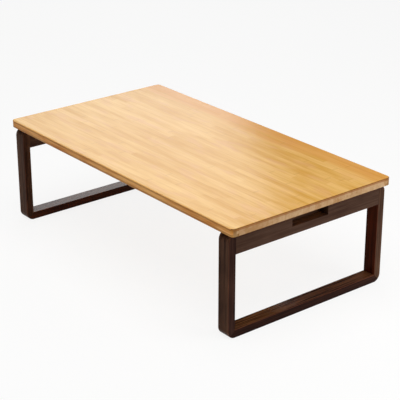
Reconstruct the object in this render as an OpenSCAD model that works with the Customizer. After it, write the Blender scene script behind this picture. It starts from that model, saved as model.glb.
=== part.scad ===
// Folding bamboo low table on two loop-shaped frames that fold in flat under the top.
// X runs along the table, Y across it and Z up. The origin is on the floor under the middle.
// The table stands unfolded. Each frame turns inwards on the pivot rivets of two steel brackets.

/* [Table top] */
// Length of the table top
top_l = 900; // [700:5:1200]
// Width of the table top
top_w = 482; // [400:1:700]
// Thickness of the table top
top_t = 20; // [18:0.5:28]
// Plan radius of the four corners of the table top
top_corner_r = 10; // [8:1:16]
// Radius of the eased edges of the table top
top_ease = 2; // [1:0.25:3]
// Width of the solid strip glued along each long side
strip_w = 18; // [17:1:40]
// Thickness of the tongue that joins each strip to the core panel
tongue_t = 6; // [4:0.5:8]
// Depth of that tongue
tongue_d = 7; // [4:0.5:10]

/* [Frames] */
// Height of the table
table_h = 274; // [240:1:400]
// Width of the frame's timber, measured along the table
frame_w = 36; // [32:1:50]
// Thickness of the legs
leg_t = 20; // [18:0.5:24]
// Thickness of the bottom rail
foot_t = 20; // [18:0.5:24]
// Height of the top rail
rail_h = 50; // [50:1:60]
// Distance from the end of the table top to the outer face of a frame
frame_end_inset = 14.5; // [8:0.5:40]
// Distance from the side of the table top to the outer face of a leg
frame_side_inset = 2.5; // [1:0.5:20]
// Outside radius of the four corners of a frame
frame_corner_r = 20; // [16:1:26]
// Radius of the eased outer edges of a frame
frame_ease = 1.5; // [1:0.25:2.5]
// Chamfer of the inner edges of a frame
window_chamfer = 1; // [0.5:0.25:2]

/* [Hand-hold] */
// Length of the hand-hold
grip_l = 110; // [90:1:140]
// Depth of the hand-hold below the table top
grip_d = 30; // [24:1:30]
// Thickness of the timber left behind the hand-hold
grip_back_t = 10; // [6:1:16]

/* [Dowels] */
// Diameter of a dowel
dowel_dia = 8; // [6:0.5:8]
// Length of a dowel between the top rail and a leg
dowel_l = 40; // [30:1:50]
// Depth of that dowel in the leg
dowel_leg_depth = 12; // [9:0.5:14]
// Length of a dowel across a mitre
mitre_dowel_l = 22; // [16:1:22]
// Distance between the two dowels of a joint
dowel_spacing = 18; // [14:1:20]
// Clearance round a dowel, screw or fixed rivet
seat_gap = 0.05; // [0.02:0.01:0.08]

/* [Folding brackets] */
// Distance from the middle of the table to the middle of a bracket
bracket_y = 140; // [110:1:160]
// Drop of the pivot below the table top
pivot_drop = 16; // [16:0.5:20]
// Distance from the pivot to the inner face of the rail
pivot_setback = 11; // [11:0.5:14]
// Thickness of the pressed steel plates
plate_t = 2; // [1.5:0.25:2.5]
// Width of the plates where the screws are
plate_w = 42; // [42:1:56]
// Length of the top plate inboard of the pivot
plate_l = 60; // [58:1:80]
// Corner radius of the plates
plate_corner_r = 4; // [2:0.5:6]
// Height of the leg plate's lower end above the lower edge of the rail
leg_plate_rise = 1; // [0.5:0.25:4]
// Gap between the two cheeks of the top plate
cheek_gap = 24; // [22:0.5:24]
// Radius of the rounded end of a cheek
cheek_r = 8.5; // [7:0.25:8.5]
// Radius of the notched rim of an ear
ear_r = 9.2; // [8.5:0.1:9.4]
// Width of an ear at its lower end
ear_foot_w = 4; // [3:0.5:6]
// Clearance between an ear and the cheek beside it
ear_gap = 0.3; // [0.2:0.05:0.5]
// Clearance between the leg plate and the top plate when the table stands
leg_plate_gap = 0.5; // [0.3:0.05:0.8]
// Diameter of the pivot rivet
rivet_dia = 6; // [5:0.25:7]
// Diameter of the rivet's heads
rivet_head_dia = 11; // [9:0.5:12]
// Height of the rivet's heads
rivet_head_h = 2.2; // [1.5:0.1:3]
// Running clearance round the pivot rivet
pivot_gap = 0.08; // [0.05:0.01:0.1]
// Outside diameter of the spacer sleeve
sleeve_dia = 10; // [9:0.5:12]

/* [Spring catch] */
// Thickness of the leaf spring
catch_t = 0.8; // [0.6:0.1:1]
// Clearance between the leaf spring and the cheeks
catch_side_gap = 0.6; // [0.4:0.1:1]
// Height of the leaf spring above the rim of the ears
catch_lift = 1; // [0.8:0.1:1.2]
// Depth of the catch's lip in the notch, measured down from the rim
catch_bite = 2.4; // [1.8:0.1:2.4]
// Clearance round the lip in the standing notch
notch_gap = 0.35; // [0.3:0.05:0.5]
// Distance from the pivot to the catch's lip, inboard
lip_x = 2.6; // [2:0.1:3.5]
// Length of the flat root of the leaf spring
catch_root_l = 22; // [20:1:26]
// Length of the sloping part of the leaf spring
catch_slope_l = 5; // [4:0.5:8]
// Diameter of the rivets that hold the leaf spring
catch_rivet_dia = 4; // [3:0.5:4]
// Diameter of their heads
catch_rivet_head_dia = 7; // [6:0.5:7]
// Height of their heads
catch_rivet_head_h = 1.3; // [1:0.1:1.6]
// Distance between them
catch_rivet_spacing = 11; // [9:1:12]

/* [Screws] */
// Diameter of a screw
screw_dia = 4; // [3:0.5:4]
// Diameter of a screw's head
screw_head_dia = 7.6; // [6.5:0.1:8]
// Length of a screw
screw_l = 16; // [12:1:17]
// Length of a screw's point
screw_point_l = 3; // [2:0.5:4]
// Diameter of a screw's tip
screw_tip_dia = 1; // [0.5:0.25:1.5]
// Distance from a screw to the side of its plate
screw_side_inset = 5; // [4.5:0.25:6]
// Distance from the outer screws to the end of their plate
screw_end_inset = 6; // [5:0.5:8]
// Distance between the screws along the top plate
top_screw_spacing = 36; // [30:1:50]
// Distance between the screws down the leg plate
leg_screw_spacing = 26; // [20:1:30]
// Width of the arms of a screw's cross recess
recess_w = 1; // [0.8:0.1:1.2]
// Length of the arms of a screw's cross recess
recess_l = 4; // [3:0.25:4.5]
// Depth of a screw's cross recess
recess_d = 1.4; // [1:0.1:1.8]

/* [Hidden] */
$fn = 64;

// Overlap of the cutting shapes past the surfaces that they cut
cut = 1;

// Colours as the photograph shows them
panel_colour = "#ECC388";
strip_colour = "#D9A868";
stain_colour = "#3E2C24";
dowel_colour = "#D8BD92";
steel_colour = "#A9ABAD";
spring_colour = "#6F7478";
screw_colour = "#C9C7BE";

// Levels and faces of the frames
underside_z = table_h - top_t;
rail_low_z = underside_z - rail_h;
grip_floor_z = underside_z - grip_d;
frame_outer_x = top_l / 2 - frame_end_inset;
frame_inner_x = frame_outer_x - frame_w;
frame_outer_y = top_w / 2 - frame_side_inset;
frame_inner_y = frame_outer_y - leg_t;

// The right-hand pivot axis, and the drop of the pivot in the brackets' own frame
pivot_x = frame_inner_x - pivot_setback;
pivot_z = underside_z - pivot_drop;

// Bracket sizes. In a bracket's own frame the pivot is the origin, X points outwards to the rail,
// Y runs along the pivot and Z is up, so the table's underside is at pivot_drop.
plate_low_z = pivot_drop - plate_t;
cheek_out_y = cheek_gap / 2 + plate_t;
ear_out_y = cheek_gap / 2 - ear_gap;
ear_in_y = ear_out_y - plate_t;
leg_plate_in_x = pivot_setback - plate_t;
leg_plate_top_z = plate_low_z - leg_plate_gap;
leg_plate_low_z = pivot_drop - rail_h + leg_plate_rise;
top_plate_end_x = pivot_setback - leg_plate_gap;
wide_plate_end_x = -cheek_r - plate_corner_r;
screw_y = plate_w / 2 - screw_side_inset;
top_screw_x = -plate_l + screw_end_inset;
leg_screw_z = leg_plate_low_z + screw_end_inset;
ear_foot_z = leg_plate_low_z + screw_end_inset;
ear_foot_x = leg_plate_in_x - ear_foot_w;

// Levels of the leaf spring: its root lies under the top plate and its free end over the ears
catch_low_z = ear_r + catch_lift;
catch_half_w = cheek_gap / 2 - catch_side_gap;
lip_low_z = ear_r - catch_bite;
catch_root_x = -plate_l + screw_end_inset + screw_head_dia / 2;
catch_rivet_x = catch_root_x + catch_root_l / 2;
notch_low_z = lip_low_z - notch_gap;

// Dowel places
dowel_x = frame_inner_x + frame_w / 2;
rail_dowel_y = frame_inner_y + dowel_leg_depth - dowel_l / 2;
rail_dowel_z = rail_low_z + rail_h / 2;
// Depth of a mitre from the inner corner of the frame to its rounded outer corner
mitre_depth = frame_corner_r - (frame_corner_r - (leg_t + foot_t) / 2) * sqrt(2);
// Run of the mitre's cut along Y and Z from the inner corner, past the outer faces
mitre_run = max(leg_t, foot_t) + cut;

// One of a pair that stands at both places, 1 and -1
sides = [-1, 1];

// A rounded rectangle centred on the origin, in exact arcs
module rounded_rect(l, w, r) {
    square([l - 2 * r, w], center = true);
    square([l, w - 2 * r], center = true);
    for (sx = sides, sy = sides)
        translate([sx * (l / 2 - r), sy * (w / 2 - r)])
            circle(r);
}

// The section of a slab's eased edge, from a line inside the slab out to its side
module eased_edge(depth, t, e) {
    square([depth - e, t]);
    translate([0, e])
        square([depth, t - 2 * e]);
    for (y = [e, t - e])
        translate([depth - e, y])
            circle(e);
}

// A slab with a rounded outline and rounded upper and lower edges, standing on Z = 0.
// It is a middle band, two end bands and four quarter discs that meet at flat faces.
module eased_slab(l, w, t, r, e) {
    rotate([90, 0, 90])
        linear_extrude(l - 2 * r, center = true)
            translate([0, t / 2])
                rounded_rect(w, t, e);
    for (turn = [0, 180])
        rotate(turn)
            translate([l / 2 - r, 0, 0])
                rotate([90, 0, 0])
                    linear_extrude(w - 2 * r, center = true)
                        eased_edge(r, t, e);
    for (quarter = [0:3])
        rotate(quarter * 90)
            translate(quarter % 2 == 0 ? [l / 2 - r, w / 2 - r, 0] : [w / 2 - r, l / 2 - r, 0])
                rotate_extrude(angle = 90)
                    eased_edge(r, t, e);
}

// Places its children at the right or left frame, seen from the middle of the table
module at_side(side) {
    if (side > 0)
        children();
    else
        mirror([1, 0, 0])
            children();
}

// Places its children at a bracket's pivot, with X pointing outwards
module at_bracket(side, y_side) {
    at_side(side)
        translate([pivot_x, y_side * bracket_y, pivot_z])
            children();
}

// Places its children at each screw of a top plate, pointing up into the table top
module at_top_screws() {
    for (i = [0, 1], s = sides)
        translate([top_screw_x + i * top_screw_spacing, s * screw_y, plate_low_z])
            children();
}

// Places its children at each screw of a leg plate, pointing into the rail
module at_leg_screws() {
    for (i = [0, 1], s = sides)
        translate([leg_plate_in_x, s * screw_y, leg_screw_z + i * leg_screw_spacing])
            rotate([0, 90, 0])
                children();
}

// Places its children at the two rivets of a leaf spring
module at_catch_rivets() {
    for (s = sides)
        translate([catch_rivet_x, s * catch_rivet_spacing / 2, 0])
            children();
}

// A countersunk wood screw that points along Z, with the top of its head at Z = 0.
// grow makes it the hole for the same screw.
module screw(grow = 0) {
    head_h = (screw_head_dia - screw_dia) / 2;
    difference() {
        union() {
            cylinder(r1 = screw_head_dia / 2 + grow, r2 = screw_dia / 2 + grow, h = head_h);
            cylinder(r = screw_dia / 2 + grow, h = screw_l - screw_point_l + grow);
            translate([0, 0, screw_l - screw_point_l + grow])
                cylinder(r1 = screw_dia / 2 + grow, r2 = screw_tip_dia / 2 + grow, h = screw_point_l);
        }
        if (grow == 0)
            for (turn = [0, 90])
                rotate(turn)
                    translate([0, 0, recess_d / 2 - cut / 2])
                        cube([recess_l, recess_w, recess_d + cut], center = true);
    }
}

// The whole slab of the table top, with pilot holes for the brackets' screws
module top_slab() {
    difference() {
        translate([0, 0, underside_z])
            eased_slab(top_l, top_w, top_t, top_corner_r, top_ease);
        for (side = sides, y_side = sides)
            at_bracket(side, y_side)
                at_top_screws()
                    screw(seat_gap);
    }
}

// The space of the core panel, with its tongue along each long side
module core_space() {
    core_w = top_w - 2 * strip_w;
    translate([-top_l / 2 - cut, -core_w / 2, underside_z - cut])
        cube([top_l + 2 * cut, core_w, top_t + 2 * cut]);
    translate([-top_l / 2 - cut, -core_w / 2 - tongue_d, underside_z + (top_t - tongue_t) / 2])
        cube([top_l + 2 * cut, core_w + 2 * tongue_d, tongue_t]);
}

module core_panel() {
    color(panel_colour)
        intersection() {
            top_slab();
            core_space();
        }
}

// One solid strip along a long side, with the groove for the core panel's tongue
module edge_strip(y_side) {
    color(strip_colour)
        difference() {
            translate([0, 0, underside_z])
                eased_slab(top_l, top_w, top_t, top_corner_r, top_ease);
            core_space();
            translate([-top_l / 2 - cut, y_side > 0 ? -top_w / 2 - cut : 0, underside_z - cut])
                cube([top_l + 2 * cut, top_w / 2 + cut, top_t + 2 * cut]);
        }
}

// Outline of a window through the frame that widens by the chamfer at both faces, from low to high
function flared(low, high) = [
    [frame_inner_x - cut, low - window_chamfer - cut], [frame_inner_x + window_chamfer, low],
    [frame_outer_x - window_chamfer, low], [frame_outer_x + cut, low - window_chamfer - cut],
    [frame_outer_x + cut, high + window_chamfer + cut], [frame_outer_x - window_chamfer, high],
    [frame_inner_x + window_chamfer, high], [frame_inner_x - cut, high + window_chamfer + cut]
];

// The open middle of the right-hand loop, chamfered all round at both faces
module frame_window() {
    intersection() {
        linear_extrude(underside_z)
            polygon(flared(-frame_inner_y, frame_inner_y));
        rotate([90, 0, 0])
            linear_extrude(2 * frame_outer_y, center = true)
                polygon(flared(foot_t, rail_low_z));
    }
}

// The whole right-hand loop, rounded outside and square inside, before it is cut into timbers
module loop_blank() {
    difference() {
        translate([frame_inner_x, 0, underside_z / 2])
            rotate([90, 0, 90])
                eased_slab(2 * frame_outer_y, underside_z, frame_w, frame_corner_r, frame_ease);
        frame_window();
    }
}

// The dowels of one frame. grow makes them the holes for the same dowels.
module dowel_set(grow = 0) {
    for (s = sides, i = sides) {
        translate([dowel_x, s * rail_dowel_y, rail_dowel_z + i * dowel_spacing / 2])
            rotate([90, 0, 0])
                cylinder(r = dowel_dia / 2 + grow, h = dowel_l + 2 * grow, center = true);
        translate([dowel_x + i * dowel_spacing / 2, s * frame_inner_y, foot_t])
            rotate([s * 45, 0, 0])
                translate([0, 0, -mitre_depth / 2])
                    rotate([90, 0, 0])
                        cylinder(r = dowel_dia / 2 + grow, h = mitre_dowel_l + 2 * grow, center = true);
    }
}

// The part of the loop that one timber takes, as an outline across the table
module timber(outline) {
    difference() {
        intersection() {
            loop_blank();
            translate([frame_inner_x - cut, 0, 0])
                rotate([90, 0, 90])
                    linear_extrude(frame_w + 2 * cut)
                        polygon(outline);
        }
        dowel_set(seat_gap);
    }
}

// The top rail stands between the legs, with the hand-hold and the pilot holes for the leg plates
module top_rail(side) {
    y = frame_inner_y;
    color(stain_colour)
        at_side(side)
            difference() {
                timber([[-y, rail_low_z], [y, rail_low_z], [y, underside_z + cut], [-y, underside_z + cut]]);
                translate([frame_inner_x + grip_back_t, -grip_l / 2, grip_floor_z])
                    cube([frame_w - grip_back_t + cut, grip_l, grip_d + cut]);
                for (y_side = sides)
                    translate([pivot_x, y_side * bracket_y, pivot_z])
                        at_leg_screws()
                            screw(seat_gap);
            }
}

// A leg runs up past the end of the top rail, and is mitred to the bottom rail
module leg(side, y_side) {
    in_y = y_side * frame_inner_y;
    out_y = y_side * (frame_inner_y + mitre_run);
    top_z = underside_z + cut;
    color(stain_colour)
        at_side(side)
            timber([[in_y, foot_t], [in_y, top_z], [out_y, top_z], [out_y, foot_t - mitre_run]]);
}

module bottom_rail(side) {
    out_y = frame_inner_y + mitre_run;
    low_z = foot_t - mitre_run;
    color(stain_colour)
        at_side(side)
            timber([[-frame_inner_y, foot_t], [-out_y, low_z], [out_y, low_z], [frame_inner_y, foot_t]]);
}

module dowels(side) {
    color(dowel_colour)
        at_side(side)
            dowel_set();
}

// The fixed plate under the table top, with a cheek at each side of the pivot
module top_plate(side, y_side) {
    color(steel_colour)
        at_bracket(side, y_side)
            difference() {
                union() {
                    translate([0, 0, plate_low_z])
                        linear_extrude(plate_t) {
                            translate([(wide_plate_end_x - plate_l) / 2, 0])
                                rounded_rect(wide_plate_end_x + plate_l, plate_w, plate_corner_r);
                            translate([wide_plate_end_x - plate_corner_r, -cheek_out_y])
                                square([top_plate_end_x - wide_plate_end_x + plate_corner_r,
                                    2 * cheek_out_y]);
                        }
                    for (s = sides)
                        translate([0, s * (cheek_gap + plate_t) / 2, 0])
                            rotate([90, 0, 0])
                                linear_extrude(plate_t, center = true) {
                                    circle(cheek_r);
                                    translate([-cheek_r, 0])
                                        square([2 * cheek_r, plate_low_z]);
                                }
                }
                rotate([90, 0, 0])
                    cylinder(r = rivet_dia / 2 + seat_gap, h = 2 * cheek_out_y + cut, center = true);
                at_top_screws()
                    screw(seat_gap);
                at_catch_rivets()
                    cylinder(r = catch_rivet_dia / 2 + seat_gap, h = pivot_drop + cut);
            }
}

// The notched profile of an ear, in the plane across the pivot
module ear_outline() {
    foot_d = sqrt(ear_foot_x * ear_foot_x + ear_foot_z * ear_foot_z);
    tangent_at = atan2(ear_foot_z, ear_foot_x) - acos(ear_r / foot_d);
    lip_mid_x = -lip_x - catch_t / 2;
    slot_w = catch_t + 2 * notch_gap;
    difference() {
        union() {
            circle(ear_r);
            polygon([[0, 0], [0, ear_r], [leg_plate_in_x + plate_t / 2, ear_r],
                [leg_plate_in_x + plate_t / 2, ear_foot_z], [ear_foot_x, ear_foot_z],
                [ear_r * cos(tangent_at), ear_r * sin(tangent_at)]]);
        }
        // The standing notch has straight sides, so it locks
        translate([lip_mid_x - slot_w / 2, notch_low_z])
            square([slot_w, ear_r]);
        // The folded notch is a quarter turn on, with sloping sides, so a firm pull frees it
        rotate(90)
            polygon([[lip_mid_x - slot_w / 2, notch_low_z], [lip_mid_x + slot_w / 2, notch_low_z],
                [lip_mid_x + slot_w, ear_r + cut], [lip_mid_x - slot_w, ear_r + cut]]);
    }
}

// The plate on the rail's inner face, with its two ears
module leg_plate(side, y_side) {
    plate_h = leg_plate_top_z - leg_plate_low_z;
    color(steel_colour)
        at_bracket(side, y_side)
            difference() {
                union() {
                    translate([leg_plate_in_x, 0, leg_plate_low_z + plate_h / 2])
                        rotate([90, 0, 90])
                            linear_extrude(plate_t)
                                rounded_rect(plate_w, plate_h, plate_corner_r);
                    for (s = sides)
                        translate([0, s * (ear_in_y + plate_t / 2), 0])
                            rotate([90, 0, 0])
                                linear_extrude(plate_t, center = true)
                                    ear_outline();
                }
                rotate([90, 0, 0])
                    cylinder(r = rivet_dia / 2 + pivot_gap, h = cheek_gap + cut, center = true);
                at_leg_screws()
                    screw(seat_gap);
            }
}

// A low domed head on the end of a shank that comes up from below, with its rim at Z = 0
module dome_head(dia, h) {
    ball_r = (dia * dia / 4 + h * h) / (2 * h);
    intersection() {
        cylinder(r = dia / 2, h = h);
        translate([0, 0, h - ball_r])
            sphere(ball_r);
    }
}

module pivot_rivet(side, y_side) {
    color(steel_colour)
        at_bracket(side, y_side) {
            rotate([90, 0, 0])
                cylinder(r = rivet_dia / 2, h = 2 * cheek_out_y, center = true);
            for (s = sides)
                rotate([-s * 90, 0, 0])
                    translate([0, 0, cheek_out_y])
                        dome_head(rivet_head_dia, rivet_head_h);
        }
}

module spacer_sleeve(side, y_side) {
    color(steel_colour)
        at_bracket(side, y_side)
            rotate([90, 0, 0])
                linear_extrude(2 * (ear_in_y - ear_gap), center = true)
                    difference() {
                        circle(sleeve_dia / 2);
                        circle(rivet_dia / 2 + seat_gap);
                    }
}

// The leaf spring: a flat root, a slope down, a free length over the ears and a lip
module catch_spring(side, y_side) {
    root_end_x = catch_root_x + catch_root_l;
    slope_end_x = root_end_x + catch_slope_l;
    root_low_z = plate_low_z - catch_t;
    color(spring_colour)
        at_bracket(side, y_side)
            difference() {
                rotate([90, 0, 0])
                    linear_extrude(2 * catch_half_w, center = true)
                        polygon([
                            [catch_root_x, root_low_z], [root_end_x, root_low_z],
                            [slope_end_x, catch_low_z], [-lip_x - catch_t, catch_low_z],
                            [-lip_x - catch_t, lip_low_z], [-lip_x, lip_low_z],
                            [-lip_x, catch_low_z + catch_t], [slope_end_x, catch_low_z + catch_t],
                            [root_end_x, plate_low_z], [catch_root_x, plate_low_z]
                        ]);
                at_catch_rivets()
                    cylinder(r = catch_rivet_dia / 2 + seat_gap, h = pivot_drop + cut);
            }
}

// Flush above the top plate, with a domed head under the leaf spring
module catch_rivets() {
    head_z = plate_low_z - catch_t;
    color(steel_colour)
        for (side = sides, y_side = sides)
            at_bracket(side, y_side)
                at_catch_rivets() {
                    translate([0, 0, head_z])
                        cylinder(r = catch_rivet_dia / 2, h = pivot_drop - head_z);
                    translate([0, 0, head_z])
                        rotate([180, 0, 0])
                            dome_head(catch_rivet_head_dia, catch_rivet_head_h);
                }
}

module top_plate_screws() {
    color(screw_colour)
        for (side = sides, y_side = sides)
            at_bracket(side, y_side)
                at_top_screws()
                    screw();
}

module leg_plate_screws(side) {
    color(screw_colour)
        for (y_side = sides)
            at_bracket(side, y_side)
                at_leg_screws()
                    screw();
}

core_panel();
edge_strip(-1);  // front_edge_strip
edge_strip(1);  // rear_edge_strip

top_rail(1);  // right_top_rail
leg(1, -1);  // right_front_leg
leg(1, 1);  // right_rear_leg
bottom_rail(1);  // right_bottom_rail
dowels(1);  // right_dowels

top_rail(-1);  // left_top_rail
leg(-1, -1);  // left_front_leg
leg(-1, 1);  // left_rear_leg
bottom_rail(-1);  // left_bottom_rail
dowels(-1);  // left_dowels

top_plate(1, -1);  // right_front_top_plate
top_plate(1, 1);  // right_rear_top_plate
top_plate(-1, -1);  // left_front_top_plate
top_plate(-1, 1);  // left_rear_top_plate

leg_plate(1, -1);  // right_front_leg_plate
leg_plate(1, 1);  // right_rear_leg_plate
leg_plate(-1, -1);  // left_front_leg_plate
leg_plate(-1, 1);  // left_rear_leg_plate

pivot_rivet(1, -1);  // right_front_pivot_rivet
pivot_rivet(1, 1);  // right_rear_pivot_rivet
pivot_rivet(-1, -1);  // left_front_pivot_rivet
pivot_rivet(-1, 1);  // left_rear_pivot_rivet

spacer_sleeve(1, -1);  // right_front_spacer_sleeve
spacer_sleeve(1, 1);  // right_rear_spacer_sleeve
spacer_sleeve(-1, -1);  // left_front_spacer_sleeve
spacer_sleeve(-1, 1);  // left_rear_spacer_sleeve

catch_spring(1, -1);  // right_front_catch_spring
catch_spring(1, 1);  // right_rear_catch_spring
catch_spring(-1, -1);  // left_front_catch_spring
catch_spring(-1, 1);  // left_rear_catch_spring

catch_rivets();
top_plate_screws();
leg_plate_screws(1);  // right_leg_plate_screws
leg_plate_screws(-1);  // left_leg_plate_screws
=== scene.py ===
import math
from functools import partial

import bpy
from mathutils import Matrix, Vector


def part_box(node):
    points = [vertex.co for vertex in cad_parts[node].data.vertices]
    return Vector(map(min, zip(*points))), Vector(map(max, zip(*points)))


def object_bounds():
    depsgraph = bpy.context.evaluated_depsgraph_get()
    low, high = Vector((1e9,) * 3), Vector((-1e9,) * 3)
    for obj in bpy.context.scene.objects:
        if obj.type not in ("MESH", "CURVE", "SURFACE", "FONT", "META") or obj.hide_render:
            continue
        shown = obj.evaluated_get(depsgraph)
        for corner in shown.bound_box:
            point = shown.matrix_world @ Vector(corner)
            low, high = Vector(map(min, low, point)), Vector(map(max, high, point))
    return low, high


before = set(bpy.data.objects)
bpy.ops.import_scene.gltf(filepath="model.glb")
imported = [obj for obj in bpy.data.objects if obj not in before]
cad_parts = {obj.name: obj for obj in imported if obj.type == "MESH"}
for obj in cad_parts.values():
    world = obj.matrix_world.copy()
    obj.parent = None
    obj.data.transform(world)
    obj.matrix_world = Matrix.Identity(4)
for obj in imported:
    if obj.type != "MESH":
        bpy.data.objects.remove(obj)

cad_low, cad_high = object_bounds()

# Camera
# A long lens at the table's front right corner, a little above it, as the photograph was taken.
# Azimuth 0 looks along +Y. The distance is from the lens to the point that it looks at.
CAMERA_AZIMUTH = math.radians(51.295)
CAMERA_ELEVATION = math.radians(23.006)
CAMERA_DISTANCE = 3.2401
CAMERA_TARGET = Vector((0.0280, 0.0084, 0.1370))
LENS_MM = 116.47
SENSOR_MM = 36
CLIP_END = 100

towards_camera = Vector((
    math.sin(CAMERA_AZIMUTH) * math.cos(CAMERA_ELEVATION),
    -math.cos(CAMERA_AZIMUTH) * math.cos(CAMERA_ELEVATION),
    math.sin(CAMERA_ELEVATION)))
camera = bpy.data.objects.new("camera", bpy.data.cameras.new("camera"))
camera.data.lens = LENS_MM
camera.data.sensor_width = SENSOR_MM
camera.data.clip_end = CLIP_END
camera.location = CAMERA_TARGET + towards_camera * CAMERA_DISTANCE
camera.rotation_euler = towards_camera.to_track_quat("Z", "Y").to_euler()
bpy.context.scene.collection.objects.link(camera)
bpy.context.scene.camera = camera


# Core panel of the table top
# Strips of natural bamboo about 18 mm wide, glued side by side as a three-ply board, sanded and
# sprayed with clear satin lacquer. Staves butt end to end, and each has a knuckle every 25 cm or so.
def linear(hex_colour):
    """Turns an sRGB colour such as "#DFA257" into linear red, green, blue and an alpha of 1."""
    srgb = [int(hex_colour[i:i + 2], 16) / 255 for i in (1, 3, 5)]
    return [c / 12.92 if c <= 0.04045 else ((c + 0.055) / 1.055) ** 2.4 for c in srgb] + [1.0]


def add_node(tree, kind, sockets=(), out=0, **settings):
    """Adds a shader node with its settings, and gives back its output called or numbered out.
    sockets holds, by name or number, a value for each input or another node's output to link.
    A Mix of colours has its share at 0, its colours at 6 and 7 and its result at 2. A MapRange
    takes the value at 0 from between 1 and 2 to between 3 and 4."""
    made = tree.nodes.new("ShaderNode" + kind)
    for name, value in settings.items():
        setattr(made, name, value)
    for key, value in dict(sockets).items():
        if isinstance(value, bpy.types.NodeSocket):
            tree.links.new(value, made.inputs[key])
        else:
            made.inputs[key].default_value = value
    return made.outputs[out] if made.outputs else None


def empty_material(name):
    """A material with no nodes yet, and add_node tied to its tree."""
    made = bpy.data.materials.new(name)
    made.use_nodes = True
    made.node_tree.nodes.clear()
    return made, partial(add_node, made.node_tree)


def fibre_noises(node, place, fibre_axis, rows):
    """One noise for each row, which gives its length along the fibres and its width across them in
    millimetres, and its detail. Its place is scaled by 1000 / length and 1000 / width."""
    made = []
    for length_mm, width_mm, detail in rows:
        per_metre = [1000 / width_mm] * 3
        per_metre[fibre_axis] = 1000 / length_mm
        stretched = node("VectorMath", {0: place, 1: per_metre}, operation="MULTIPLY")
        made.append(node("TexNoise", {"Vector": stretched, "Scale": 1.0, "Detail": detail}))
    return made


def layer_tone(node, across, width):
    """A random tone for each of the layers of this width that lie side by side along across."""
    layer_at = node("Math", {0: across, 1: width}, operation="DIVIDE")
    layer = node("Math", {0: layer_at}, operation="FLOOR")
    return node("TexWhiteNoise", {"W": layer}, noise_dimensions="1D")


def weighed_tone(node, tones, weights):
    """Adds the tones by their weights, so that the sum is 0.5 where each of them is."""
    total = 0.5 - sum(weights) / 2
    for tone, weight in zip(tones, weights):
        total = node("Math", {0: tone, 1: weight, 2: total}, operation="MULTIPLY_ADD")
    return total


def dress(material, *nodes):
    """Gives CAD nodes this material."""
    for name in nodes:
        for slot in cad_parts[name].material_slots:
            slot.material = material


panel_low, panel_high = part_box("core_panel")
PANEL_MID_Z = (panel_low.z + panel_high.z) / 2
ALONG_X, ALONG_Y, ALONG_Z = range(3)

FACE_HONEY = "#DAA144"
FACE_PALE = "#F3C578"
FACE_AMBER = "#D98E2C"
FACE_BLUSH = "#E3A77B"
SIDE_HONEY = "#C97C2B"
SIDE_PALE = "#EEB266"
# Painted shade on the lower arris of the sides
SIDE_PAINTED_SHADE = "#8E5A28"
END_HONEY = "#A97E51"
END_PALE = "#C5A47D"
END_SOAKED = "#7C4C1A"
SEAM = "#A87432"
KNUCKLE = "#C08A3C"
GLUE_LINE = "#91541A"
# A painted highlight on the sanded arris along the sides
SANDED_ARRIS_AND_HIGHLIGHT = "#FFC97C"

STRIP_W = 0.0182
LAMELLA_W = 0.0061
STAVE_L = 0.36
STAVE_STAGGER = 9.0             # in stave lengths
PANEL_STAVE_CONTRAST = 0.5
KNUCKLE_GAP = 0.245
KNUCKLE_STAGGER = 5.0           # in gaps
KNUCKLE_W = 0.0035
KNUCKLE_SHARE = 0.3
SEAM_HALF_W = 0.045             # in strip widths
SEAM_SHARE = 0.3
SEAM_RELIEF = -0.6
FACE_PLY = 0.0036
GLUE_LINE_Z = (panel_high.z - panel_low.z) / 2 - FACE_PLY
GLUE_LINE_W = 0.0030
GLUE_LINE_TOP = 0.45
GLUE_LINE_END = 0.65
GLUE_LINE_LOW = 0.5

# The rows are clouds, flecks, streaks, lines and fibres. The weights are theirs without the flecks',
# and the lamellas'.
BOARD_GRAIN = ((450, 200, 1), (90, 30, 2), (170, 16, 4), (70, 5, 2), (40, 1.1, 2))
BOARD_WEIGHTS = (0.8, 1.6, 0.95, 0.55, 0.15)
SIDE_CONTRAST = 1.8
BLUSH_FROM, BLUSH_FULL, BLUSH_SHARE = 0.5, 0.7, 0.28
AMBER_FROM_Y, AMBER_FULL_Y, AMBER_SHARE = 0.215, 0.26, 0.6
AMBER_RAGGED = 0.1              # how far the streaks shift its start, in metres

# A face's tone comes in where the normal has this much along X or Z. An arris is where what it has
# along Z, times what that lacks to 1, is this large.
LEVEL_FROM, LEVEL_FULL = 0.5, 0.9
END_FROM, END_FULL = 0.6, 0.95
ARRIS_FROM, ARRIS_FULL, ARRIS_SHARE = 0.05, 0.15, 0.9
SOAKED_FROM, SOAKED_FULL = 0.1, 0.35
PAINTED_SHADE_FULL, PAINTED_SHADE_FROM, PAINTED_SHADE_SHARE = -0.7, -0.1, 0.8
BELOW_FULL, BELOW_FROM = -0.99, -0.9

# Most of a noise lies between these two values.
NOISE_LOW, NOISE_HIGH = 0.2, 0.8
SATIN_LOW, SATIN_HIGH = 0.15, 0.21
BOARD_BUMP_SHARE = 0.2
BOARD_BUMP_DEPTH = 0.0001
LACQUER_IOR = 1.45
BOARD_GLOSS = 0.12


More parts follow.
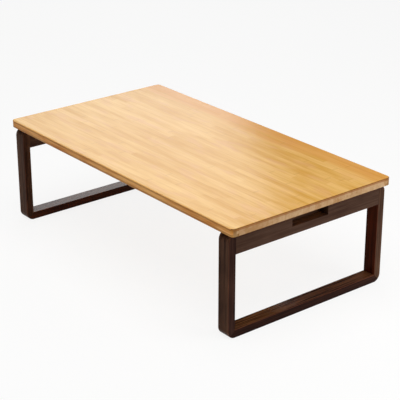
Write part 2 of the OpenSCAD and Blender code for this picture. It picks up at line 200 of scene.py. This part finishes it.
def bamboo_board(name, strip_w, stave_contrast, end_honey, end_pale):
    """Lacquered bamboo as a solid texture whose fibres run along X. Each strip has its own tone for
    each stave in it, and the last ones at the rear are more orange. Streaks and fibres are noise
    stretched along X, so that they show as lines on the faces and as dots at the ends. A glue line lies
    one face ply in from the top and the underside. The sanded arris along the sides has a painted
    highlight, and at the ends it has soaked up lacquer and is dark. The lower arris has painted shade.
    The satin lacquer gives a soft sheen, and its low reflectance keeps the honey colour deep beside it."""
    material, node = empty_material(name)
    place = node("TexCoord", out="Object")
    x, y, z = node("SeparateXYZ", {0: place}).node.outputs
    facing_x, _, facing_z = node("SeparateXYZ", {0: place.node.outputs["Normal"]}).node.outputs

    # Strips and the staves in them
    strip_at = node("Math", {0: y, 1: strip_w}, operation="DIVIDE")
    strip = node("Math", {0: strip_at}, operation="FLOOR")
    strip_chance = node("TexWhiteNoise", {"W": strip}, noise_dimensions="1D")
    stave_at = node("Math", {0: x, 1: STAVE_L}, operation="DIVIDE")
    stave_at = node("Math", {0: strip_chance, 1: STAVE_STAGGER, 2: stave_at}, operation="MULTIPLY_ADD")
    stave = node("Math", {0: stave_at}, operation="FLOOR")
    pair = node("CombineXYZ", {0: strip, 1: stave})
    chances = node("TexWhiteNoise", {0: pair}, out="Color", noise_dimensions="2D")
    stave_tone, knuckle_chance, _ = node("SeparateColor", {0: chances}).node.outputs

    # Grain, from honey to pale
    cloudy, flecks, streaks, lines, fibres = fibre_noises(node, place, ALONG_X, BOARD_GRAIN)
    lamella_tone = layer_tone(node, y, LAMELLA_W)
    paleness = weighed_tone(node, (stave_tone, cloudy, streaks, lines, fibres, lamella_tone),
                            (stave_contrast, *BOARD_WEIGHTS))
    colour = node("Mix", {0: paleness, 6: linear(FACE_HONEY), 7: linear(FACE_PALE)}, 2, data_type="RGBA")
    blush = node("MapRange", {0: flecks, 1: BLUSH_FROM, 2: BLUSH_FULL, 4: BLUSH_SHARE},
                 interpolation_type="SMOOTHSTEP")
    colour = node("Mix", {0: blush, 6: colour, 7: linear(FACE_BLUSH)}, 2, data_type="RGBA")
    rearward = node("Math", {0: streaks, 1: AMBER_RAGGED, 2: y}, operation="MULTIPLY_ADD")
    amber = node("MapRange", {0: rearward, 1: AMBER_FROM_Y, 2: AMBER_FULL_Y, 4: AMBER_SHARE},
                 interpolation_type="SMOOTHSTEP")
    colour = node("Mix", {0: amber, 6: colour, 7: linear(FACE_AMBER)}, 2, data_type="RGBA")

    # The same grain on the sides and the ends, each with its own tones
    side_paleness = node("Math", {0: paleness, 1: SIDE_CONTRAST, 2: 0.5 - SIDE_CONTRAST / 2},
                         operation="MULTIPLY_ADD")
    side_colour = node("Mix", {0: side_paleness, 6: linear(SIDE_HONEY), 7: linear(SIDE_PALE)}, 2,
                       data_type="RGBA")
    end_colour = node("Mix", {0: paleness, 6: linear(end_honey), 7: linear(end_pale)}, 2, data_type="RGBA")
    upright = node("Math", {0: facing_z}, operation="ABSOLUTE")
    level = node("MapRange", {0: upright, 1: LEVEL_FROM, 2: LEVEL_FULL}, interpolation_type="SMOOTHSTEP")
    end_share = node("Math", {0: facing_x}, operation="ABSOLUTE")
    endwise = node("MapRange", {0: end_share, 1: END_FROM, 2: END_FULL}, interpolation_type="SMOOTHSTEP")
    off_end = node("Math", {0: 1.0, 1: endwise}, operation="SUBTRACT")
    colour = node("Mix", {0: level, 6: side_colour, 7: colour}, 2, data_type="RGBA")
    colour = node("Mix", {0: endwise, 6: colour, 7: end_colour}, 2, data_type="RGBA")

    # Knuckles across each stave
    knuckle_at = node("Math", {0: x, 1: KNUCKLE_GAP}, operation="DIVIDE")
    knuckle_at = node("Math", {0: knuckle_chance, 1: KNUCKLE_STAGGER, 2: knuckle_at},
                      operation="MULTIPLY_ADD")
    from_knuckle = node("Math", {0: knuckle_at, 1: 1.0}, operation="PINGPONG")
    knuckle = node("MapRange", {0: from_knuckle, 1: 0.0, 2: KNUCKLE_W / KNUCKLE_GAP,
                                3: KNUCKLE_SHARE, 4: 0.0}, interpolation_type="SMOOTHSTEP")
    knuckle = node("Math", {0: knuckle, 1: off_end}, operation="MULTIPLY")
    colour = node("Mix", {0: knuckle, 6: colour, 7: linear(KNUCKLE)}, 2, data_type="RGBA")

    # Seams between strips, and the glue lines of the plies
    from_seam = node("Math", {0: strip_at, 1: 0.5}, operation="PINGPONG")
    seam = node("MapRange", {0: from_seam, 1: 0.0, 2: SEAM_HALF_W, 3: SEAM_SHARE, 4: 0.0},
                interpolation_type="SMOOTHSTEP")
    colour = node("Mix", {0: seam, 6: colour, 7: linear(SEAM)}, 2, data_type="RGBA")
    from_middle = node("Math", {0: z, 1: PANEL_MID_Z}, operation="SUBTRACT")
    from_middle = node("Math", {0: from_middle}, operation="ABSOLUTE")
    from_glue = node("Math", {0: from_middle, 1: GLUE_LINE_Z}, operation="SUBTRACT")
    from_glue = node("Math", {0: from_glue}, operation="ABSOLUTE")
    glue_low = node("Math", {0: off_end, 1: GLUE_LINE_LOW}, operation="MULTIPLY")
    glue_top = node("Math", {0: off_end, 1: GLUE_LINE_TOP - GLUE_LINE_END, 2: GLUE_LINE_END},
                    operation="MULTIPLY_ADD")
    glue_shown = node("MapRange", {0: z, 1: PANEL_MID_Z - GLUE_LINE_W, 2: PANEL_MID_Z,
                                   3: glue_low, 4: glue_top})
    glue = node("MapRange", {0: from_glue, 1: GLUE_LINE_W / 2, 2: GLUE_LINE_W, 3: glue_shown, 4: 0.0},
                interpolation_type="SMOOTHSTEP")
    colour = node("Mix", {0: glue, 6: colour, 7: linear(GLUE_LINE)}, 2, data_type="RGBA")

    # Arrises: sanded with a painted highlight above the sides, soaked above the ends, painted shade
    # below, and neither on the underside itself
    soaked = node("MapRange", {0: end_share, 1: SOAKED_FROM, 2: SOAKED_FULL},
                  interpolation_type="SMOOTHSTEP")
    arris_colour = node("Mix", {0: soaked, 6: linear(SANDED_ARRIS_AND_HIGHLIGHT), 7: linear(END_SOAKED)}, 2,
                        data_type="RGBA")
    turned = node("Math", {0: 1.0, 1: facing_z}, operation="SUBTRACT")
    arris = node("Math", {0: turned, 1: facing_z}, operation="MULTIPLY")
    arris = node("MapRange", {0: arris, 1: ARRIS_FROM, 2: ARRIS_FULL, 4: ARRIS_SHARE},
                 interpolation_type="SMOOTHSTEP")
    colour = node("Mix", {0: arris, 6: colour, 7: arris_colour}, 2, data_type="RGBA")
    # Painted shade on arrises that turn down
    painted_shade = node("MapRange", {0: facing_z, 1: PAINTED_SHADE_FULL, 2: PAINTED_SHADE_FROM, 3: PAINTED_SHADE_SHARE, 4: 0.0},
                  interpolation_type="SMOOTHSTEP")
    not_below = node("MapRange", {0: facing_z, 1: BELOW_FULL, 2: BELOW_FROM},
                     interpolation_type="SMOOTHSTEP")
    painted_shade = node("Math", {0: painted_shade, 1: not_below}, operation="MULTIPLY")
    colour = node("Mix", {0: painted_shade, 6: colour, 7: linear(SIDE_PAINTED_SHADE)}, 2, data_type="RGBA")

    # Lacquer over fibres that stand a little proud and seams that are a little low
    relief = node("Math", {0: seam, 1: SEAM_RELIEF, 2: fibres}, operation="MULTIPLY_ADD")
    bump = node("Bump", {"Strength": BOARD_BUMP_SHARE, "Distance": BOARD_BUMP_DEPTH, "Height": relief})
    roughness = node("MapRange", {0: fibres, 1: NOISE_LOW, 2: NOISE_HIGH, 3: SATIN_LOW, 4: SATIN_HIGH})
    lacquer = node("BsdfPrincipled", {"Base Color": colour, "Roughness": roughness, "Normal": bump,
                                      "IOR": LACQUER_IOR, "Specular IOR Level": BOARD_GLOSS})
    node("OutputMaterial", {"Surface": lacquer})
    return material


dress(bamboo_board("lacquered_bamboo_panel", STRIP_W, PANEL_STAVE_CONTRAST, END_HONEY, END_PALE),
      "core_panel")

# Edge strips of the table top
# A solid bamboo strip along each long side, tongued and glued to the panel, and eased with it. The
# front one matches the panel, the rear one is the most orange, and both are darker at their ends.
EDGE_STRIP_W = STRIP_W * 2
EDGING_STAVE_CONTRAST = 0.25
EDGING_END_HONEY = "#835A30"
EDGING_END_PALE = "#A98456"
dress(bamboo_board("lacquered_bamboo_edging", EDGE_STRIP_W, EDGING_STAVE_CONTRAST,
                   EDGING_END_HONEY, EDGING_END_PALE), "front_edge_strip", "rear_edge_strip")

# Frame timbers
# Laminated bamboo, stained dark walnut and sprayed with semi-gloss lacquer. The stain sinks in
# unevenly, so the pieces differ in tone, and it is worn thin along the eased edges, where a painted
# highlight lies too. The right rear leg is a lighter copy with painted light, and the right front leg
# and foot have painted shade.
RAIL_DARK, RAIL_WARM = "#3D2920", "#564034"
LEG_DARK, LEG_WARM = "#2B1913", "#5E4130"
# Painted light: a lighter copy of the leg stain for the right rear leg
LEG_DARK_PAINTED_LIGHT, LEG_WARM_PAINTED_LIGHT = "#3A2820", "#684B39"
FOOT_DARK, FOOT_WARM = "#1D0904", "#482516"
# Painted shade: the right foot's warm tone is a little darker
FOOT_WARM_PAINTED_SHADE = "#442314"
# Worn thin on the eased edges, and a painted highlight there
STAIN_WORN_AND_HIGHLIGHT = "#7E4C38"
# Upper faces: wear from feet and hands, and painted light from above
STAIN_TRODDEN_AND_LIT = "#644029"
# Painted shade on the legs' faces that look into the frame, under the top
INSIDE_PAINTED_SHADE = "#CB8060"
# Painted shade on faces along X of the right front leg and foot
X_FACE_PAINTED_SHADE = "#C8C6DE"
LACQUER_TINT = "#A8583C"

RAIL_GLOSS, LEG_GLOSS, FOOT_GLOSS = 0.04, 0.03, 0.11
TIMBER_ROUGHNESS, FOOT_ROUGHNESS = 0.26, 0.11
ROUGHNESS_SPREAD = 0.05
TIMBER_BUMP_SHARE = 0.3
TIMBER_BUMP_DEPTH = 0.0002
# Shares of the lighter upper faces, wear and painted light
RAIL_TRODDEN_AND_LIT, FOOT_TRODDEN_AND_LIT = 0.7, 0.9
# Shares of the painted shade on faces along X
LEG_PAINTED_SHADE, FOOT_PAINTED_SHADE = 1.0, 0.8

# The rows are clouds, streaks, lines and fibres. The weights are theirs and the lamellas'.
TIMBER_GRAIN = ((70, 70, 2), (300, 9, 3), (105, 3, 2), (37, 1.1, 2))
TIMBER_WEIGHTS = (0.8, 1.5, 1.3, 0.7, 0.2)
END_GRAIN_FROM, END_GRAIN_FULL, END_GRAIN_SHOWN = 0.6, 0.9, 0.35
WORN_AND_HIGHLIGHT_FROM, WORN_AND_HIGHLIGHT_FULL = 0.08, 0.2
FACE_FROM, FACE_FULL = 0.6, 0.95
TRODDEN_AND_LIT_LINE_FROM, TRODDEN_AND_LIT_LINE_FULL = 0.38, 0.62
INSIDE_FULL_Y, INSIDE_FROM_Y = -0.2, -0.1


def stained_bamboo(name, fibre_axis, dark, warm, gloss, roughness, trodden_and_lit=0.0, painted_x_shade=0.0):
    """Stained bamboo whose fibres run along fibre_axis. Lamellas are layers across X. The end grain
    drinks more stain, so it is darker and plainer. The worn tone shows where a face turns into the
    next one at an eased edge, which is where the normal has a share of X between none and all: the
    stain is worn thin there, and it is also a painted highlight. An upper face is lighter by the share
    trodden, partly wear from feet and hands and partly painted light from above. The legs' faces that
    look into the frame, where place and normal have opposite signs in Y, are a deeper and redder brown
    as painted shade under the top. Faces along X are darker by the share painted_x_shade, as painted
    shade.
    The lacquer's warm tint mutes what it mirrors from straight ahead and leaves the bright gloss at a
    low angle."""
    material, node = empty_material(name)
    place = node("TexCoord", out="Object")
    x, y, _ = node("SeparateXYZ", {0: place}).node.outputs
    facing = node("SeparateXYZ", {0: place.node.outputs["Normal"]}).node.outputs

    # Grain, from dark to warm, and plainer at the ends
    cloudy, streaks, lines, fibres = fibre_noises(node, place, fibre_axis, TIMBER_GRAIN)
    warmth = weighed_tone(node, (cloudy, streaks, lines, fibres, layer_tone(node, x, LAMELLA_W)),
                          TIMBER_WEIGHTS)
    end_share = node("Math", {0: facing[fibre_axis]}, operation="ABSOLUTE")
    grain_shown = node("MapRange", {0: end_share, 1: END_GRAIN_FROM, 2: END_GRAIN_FULL,
                                    3: 1.0, 4: END_GRAIN_SHOWN})
    warmth = node("Math", {0: warmth, 1: grain_shown}, operation="MULTIPLY")
    colour = node("Mix", {0: warmth, 6: linear(dark), 7: linear(warm)}, 2, data_type="RGBA")

    # Eased edges with worn stain and a painted highlight, and upper faces with wear and painted light
    sideways = node("Math", {0: facing[ALONG_X]}, operation="ABSOLUTE")
    off_axis = node("Math", {0: 1.0, 1: sideways}, operation="SUBTRACT")
    edge = node("Math", {0: sideways, 1: off_axis}, operation="MULTIPLY")
    edge = node("MapRange", {0: edge, 1: WORN_AND_HIGHLIGHT_FROM, 2: WORN_AND_HIGHLIGHT_FULL}, interpolation_type="SMOOTHSTEP")
    worn_and_highlit = node("Math", {0: edge, 1: cloudy}, operation="MULTIPLY")
    colour = node("Mix", {0: worn_and_highlit, 6: colour, 7: linear(STAIN_WORN_AND_HIGHLIGHT)}, 2, data_type="RGBA")
    upward_wear_and_light = node("MapRange", {0: facing[ALONG_Z], 1: FACE_FROM, 2: FACE_FULL, 4: trodden_and_lit},
                  interpolation_type="SMOOTHSTEP")
    streaked = node("MapRange", {0: lines, 1: TRODDEN_AND_LIT_LINE_FROM, 2: TRODDEN_AND_LIT_LINE_FULL})
    upward_wear_and_light = node("Math", {0: upward_wear_and_light, 1: streaked}, operation="MULTIPLY")
    colour = node("Mix", {0: upward_wear_and_light, 6: colour, 7: linear(STAIN_TRODDEN_AND_LIT)}, 2, data_type="RGBA")

    # Painted shade on the faces that look into the frame, and on faces along X by the share
    # painted_x_shade
    outwards = node("Math", {0: facing[ALONG_Y], 1: y}, operation="MULTIPLY")
    inside_painted_shade = node("MapRange", {0: outwards, 1: INSIDE_FULL_Y, 2: INSIDE_FROM_Y, 3: 1.0, 4: 0.0})
    colour = node("Mix", {0: inside_painted_shade, 6: colour, 7: linear(INSIDE_PAINTED_SHADE)}, 2, data_type="RGBA",
                  blend_type="MULTIPLY")
    x_face_shade = node("MapRange", {0: sideways, 1: FACE_FROM, 2: FACE_FULL, 4: painted_x_shade})
    colour = node("Mix", {0: x_face_shade, 6: colour, 7: linear(X_FACE_PAINTED_SHADE)}, 2, data_type="RGBA",
                  blend_type="MULTIPLY")

    # Lacquer over fibres that stand a little proud
    bump = node("Bump", {"Strength": TIMBER_BUMP_SHARE, "Distance": TIMBER_BUMP_DEPTH, "Height": fibres})
    rough = node("MapRange", {0: streaks, 1: NOISE_LOW, 2: NOISE_HIGH,
                              3: roughness - ROUGHNESS_SPREAD, 4: roughness + ROUGHNESS_SPREAD})
    lacquer = node("BsdfPrincipled", {"Base Color": colour, "Roughness": rough, "Normal": bump,
                                      "IOR": LACQUER_IOR, "Specular IOR Level": gloss,
                                      "Specular Tint": linear(LACQUER_TINT)})
    node("OutputMaterial", {"Surface": lacquer})
    return material


rail_stain = stained_bamboo("walnut_stained_bamboo_rail", ALONG_Y, RAIL_DARK, RAIL_WARM,
                            RAIL_GLOSS, TIMBER_ROUGHNESS, trodden_and_lit=RAIL_TRODDEN_AND_LIT)
dress(rail_stain, "right_top_rail", "left_top_rail")
leg_stain = stained_bamboo("walnut_stained_bamboo_leg", ALONG_Z, LEG_DARK, LEG_WARM,
                           LEG_GLOSS, TIMBER_ROUGHNESS)
dress(leg_stain, "left_front_leg", "left_rear_leg")
# Painted shade on the right front leg's faces along X
leg_stain_with_painted_shade = stained_bamboo("walnut_stained_bamboo_leg_painted_shade", ALONG_Z, LEG_DARK, LEG_WARM,
                                 LEG_GLOSS, TIMBER_ROUGHNESS, painted_x_shade=LEG_PAINTED_SHADE)
dress(leg_stain_with_painted_shade, "right_front_leg")
# Painted light on the right rear leg
leg_stain_with_painted_light = stained_bamboo("walnut_stained_bamboo_leg_painted_light", ALONG_Z, LEG_DARK_PAINTED_LIGHT,
                                 LEG_WARM_PAINTED_LIGHT, LEG_GLOSS, TIMBER_ROUGHNESS)
dress(leg_stain_with_painted_light, "right_rear_leg")
foot_stain = stained_bamboo("walnut_stained_bamboo_foot", ALONG_Y, FOOT_DARK, FOOT_WARM,
                            FOOT_GLOSS, FOOT_ROUGHNESS, trodden_and_lit=FOOT_TRODDEN_AND_LIT)
dress(foot_stain, "left_bottom_rail")
# Painted shade on the right foot, on its faces along X and in its warm tone
foot_stain_with_painted_shade = stained_bamboo("walnut_stained_bamboo_foot_painted_shade", ALONG_Y, FOOT_DARK, FOOT_WARM_PAINTED_SHADE,
                                  FOOT_GLOSS, FOOT_ROUGHNESS, trodden_and_lit=FOOT_TRODDEN_AND_LIT, painted_x_shade=FOOT_PAINTED_SHADE)
dress(foot_stain_with_painted_shade, "right_bottom_rail")

# Dowels
# Plain beech rod cut to length, glued into the corners of the frames and never finished.
# The bare wood is pale and quite matt, with a fine fleck.
BEECH_LIGHT = "#DCC096"
BEECH_DARK = "#C39C6C"
BEECH_PER_METRE = (700.0, 700.0, 60.0)
BEECH_DETAIL = 3.0
BEECH_ROUGHNESS = 0.75
beech, node = empty_material("unfinished_beech")
stretched = node("VectorMath", {0: node("TexCoord", out="Object"), 1: BEECH_PER_METRE},
                 operation="MULTIPLY")
fleck = node("TexNoise", {"Vector": stretched, "Scale": 1.0, "Detail": BEECH_DETAIL})
colour = node("Mix", {0: fleck, 6: linear(BEECH_DARK), 7: linear(BEECH_LIGHT)}, 2, data_type="RGBA")
bare_wood = node("BsdfPrincipled", {"Base Color": colour, "Roughness": BEECH_ROUGHNESS})
node("OutputMaterial", {"Surface": bare_wood})
dress(beech, "right_dowels", "left_dowels")

# Folding brackets
# Plates pressed from 2 mm steel sheet and zinc plated, which leaves a bluish grey bloom in small
# cloudy patches. The plates are screwed on, and a rivet joins each pair with a sleeve between the ears.
ZINC_LIGHT = "#C9CCCE"
ZINC_DARK = "#9DA1A5"
RIVET_LIGHT = "#D6D5D1"
RIVET_DARK = "#B4B4B1"
YELLOW_LIGHT = "#D8C993"
YELLOW_DARK = "#B59A5C"
BLUED_LIGHT = "#5C5A66"
BLUED_DARK = "#3A4250"
PATCH_DETAIL = 4.0
SCRATCH_PER_METRE = (150.0, 2400.0, 900.0)
SCRATCH_DETAIL = 2.0
SCRATCH_LOW, SCRATCH_HIGH = 0.3, 0.7
SCRATCH_SPREAD = 0.07
SCRATCH_BUMP_SHARE = 0.15
SCRATCH_BUMP_DEPTH = 0.00005


def plated_steel(name, dark, light, patch_mm, roughness):
    """A metal whose tone changes in cloudy patches of the size given in millimetres. Fine scratches
    from handling, a noise stretched along X, change its roughness and its relief."""
    material, node = empty_material(name)
    place = node("TexCoord", out="Object")
    patches = node("TexNoise", {"Vector": place, "Scale": 1000 / patch_mm, "Detail": PATCH_DETAIL})
    stretched = node("VectorMath", {0: place, 1: SCRATCH_PER_METRE}, operation="MULTIPLY")
    scratches = node("TexNoise", {"Vector": stretched, "Scale": 1.0, "Detail": SCRATCH_DETAIL})
    colour = node("Mix", {0: patches, 6: linear(dark), 7: linear(light)}, 2, data_type="RGBA")
    rough = node("MapRange", {0: scratches, 1: SCRATCH_LOW, 2: SCRATCH_HIGH,
                              3: roughness - SCRATCH_SPREAD, 4: roughness + SCRATCH_SPREAD})
    bump = node("Bump", {"Strength": SCRATCH_BUMP_SHARE, "Distance": SCRATCH_BUMP_DEPTH,
                         "Height": scratches})
    steel = node("BsdfPrincipled", {"Base Color": colour, "Metallic": 1.0, "Roughness": rough,
                                    "Normal": bump})
    node("OutputMaterial", {"Surface": steel})
    return material


zinc = plated_steel("zinc_plated_steel", ZINC_DARK, ZINC_LIGHT, patch_mm=6.0, roughness=0.4)
bright = plated_steel("bright_rivet_steel", RIVET_DARK, RIVET_LIGHT, patch_mm=3.0, roughness=0.28)
yellow = plated_steel("yellow_passivated_steel", YELLOW_DARK, YELLOW_LIGHT, patch_mm=2.0, roughness=0.32)
blued = plated_steel("blued_spring_steel", BLUED_DARK, BLUED_LIGHT, patch_mm=8.0, roughness=0.3)
for end in ("right", "left"):
    for side in ("front", "rear"):
        bracket = f"{end}_{side}_"
        dress(zinc, bracket + "top_plate", bracket + "leg_plate", bracket + "spacer_sleeve")
        dress(bright, bracket + "pivot_rivet")
        dress(blued, bracket + "catch_spring")
    dress(yellow, f"{end}_leg_plate_screws")
dress(bright, "catch_rivets")
dress(yellow, "top_plate_screws")

# Floor
# A plain pale sweep. The camera and whatever mirrors see it close to white, the table's shadow stays
# on it, and it isn't seen from below, so that the table's underside shows there.
FLOOR_HALF = 30.0
FLOOR_PAINT = "#F5F5F3"
FLOOR_WHITE = 0.86

corners = [(x * FLOOR_HALF, y * FLOOR_HALF, 0.0) for x, y in ((-1, -1), (1, -1), (1, 1), (-1, 1))]
floor_mesh = bpy.data.meshes.new("floor")
floor_mesh.from_pydata(corners, [], [(0, 1, 2, 3)])
floor = bpy.data.objects.new("floor", floor_mesh)
bpy.context.scene.collection.objects.link(floor)

floor_paint, node = empty_material("matt_floor_paint")
ray = node("LightPath", out="Is Camera Ray").node.outputs
seen = node("Math", {0: ray["Is Camera Ray"], 1: ray["Is Glossy Ray"]}, operation="MAXIMUM")
seen = node("Math", {0: seen, 1: ray["Is Transmission Ray"]}, operation="MAXIMUM")
share = node("Math", {0: seen, 1: FLOOR_WHITE}, operation="MULTIPLY")
paint = node("BsdfDiffuse", {"Color": linear(FLOOR_PAINT)})
white = node("Emission", {"Strength": 1.0})
shown = node("MixShader", {0: share, 1: paint, 2: white})
from_below = node("Math", {0: seen, 1: node("NewGeometry", out="Backfacing")}, operation="MULTIPLY")
clear = node("BsdfTransparent")
node("OutputMaterial", {"Surface": node("MixShader", {0: from_below, 1: shown, 2: clear})})
floor_mesh.materials.append(floor_paint)

# Light
# A wide soft box above the front right gives the even light. A tilted one far beyond the rear left
# corner is what the satin lacquer shows as a pale sheen across the left and middle of the top. A small
# low one beyond the right end brightens that end, and isn't mirrored.
WORLD_FILL = 0.22
GLOSS_CEILING = 0.15
CEILING_FROM = math.sin(math.radians(10))
CEILING_FULL = math.sin(math.radians(20))
OVERHEAD_PLACE = Vector((0.6, -0.5, 3.2))
OVERHEAD_SIZE = 3.4
OVERHEAD_WATTS = 83.0
SHEEN_DISTANCE = 4.0
SHEEN_ASIDE = -0.34
SHEEN_Z = 2.1
SHEEN_LEAN = math.radians(18.0)
SHEEN_LENGTH = 1.5
SHEEN_HEIGHT = 1.6
SHEEN_WATTS = 23.5
END_BOX_PLACE = Vector((1.5, 0.6, 0.45))
END_BOX_SIZE = 0.8
END_BOX_WATTS = 7.0

# The world is white to the camera and fills in the shade. What mirrors sees it dimmer above the
# height at which a dark ceiling would begin.
world = bpy.data.worlds.new("white_studio")
world.use_nodes = True
world.node_tree.nodes.clear()
node = partial(add_node, world.node_tree)
ray = node("LightPath", out="Is Camera Ray").node.outputs
height = node("SeparateXYZ", {0: node("TexCoord", out="Generated")}, out="Z")
ceiling = node("MapRange", {0: height, 1: CEILING_FROM, 2: CEILING_FULL, 3: 1.0, 4: GLOSS_CEILING})
strength = node("Mix", {0: ray["Is Glossy Ray"], 2: WORLD_FILL, 3: ceiling})
seen = node("Math", {0: ray["Is Camera Ray"], 1: ray["Is Transmission Ray"]}, operation="MAXIMUM")
strength = node("Mix", {0: seen, 2: strength, 3: 1.0})
node("OutputWorld", {"Surface": node("Background", {"Color": (1.0, 1.0, 1.0, 1.0), "Strength": strength})})
bpy.context.scene.world = world


def soft_box(name, length, height, watts, turn, place, mirrored=True):
    """A rectangular lamp that shines along the -Z of turn and is never seen by the camera itself.
    The lacquer and the metals mirror it only where mirrored is true."""
    lamp = bpy.data.lights.new(name, "AREA")
    lamp.shape = "RECTANGLE"
    lamp.size = length
    lamp.size_y = height
    lamp.energy = watts
    made = bpy.data.objects.new(name, lamp)
    made.matrix_world = Matrix.Translation(place) @ turn.to_4x4()
    made.visible_camera = False
    made.visible_glossy = mirrored
    bpy.context.scene.collection.objects.link(made)


soft_box("overhead_soft_box", OVERHEAD_SIZE, OVERHEAD_SIZE, OVERHEAD_WATTS, Matrix.Identity(3),
         OVERHEAD_PLACE)
away = Vector((-math.sin(CAMERA_AZIMUTH), math.cos(CAMERA_AZIMUTH), 0.0))
aside = Vector((math.cos(CAMERA_AZIMUTH), math.sin(CAMERA_AZIMUTH), 0.0))
along_box = Vector((0, 0, math.sin(SHEEN_LEAN))) - aside * math.cos(SHEEN_LEAN)
sheen_turn = Matrix((along_box, away.cross(along_box), away)).transposed()
soft_box("sheen_soft_box", SHEEN_LENGTH, SHEEN_HEIGHT, SHEEN_WATTS, sheen_turn,
         away * SHEEN_DISTANCE + aside * SHEEN_ASIDE + Vector((0, 0, SHEEN_Z)))
right_end = Vector((cad_high.x, 0.0, cad_high.z / 2))
end_box_turn = (END_BOX_PLACE - right_end).to_track_quat("Z", "Y").to_matrix()
soft_box("end_soft_box", END_BOX_SIZE, END_BOX_SIZE, END_BOX_WATTS, end_box_turn, END_BOX_PLACE,
         mirrored=False)

bpy.context.scene.view_settings.view_transform = "Standard"
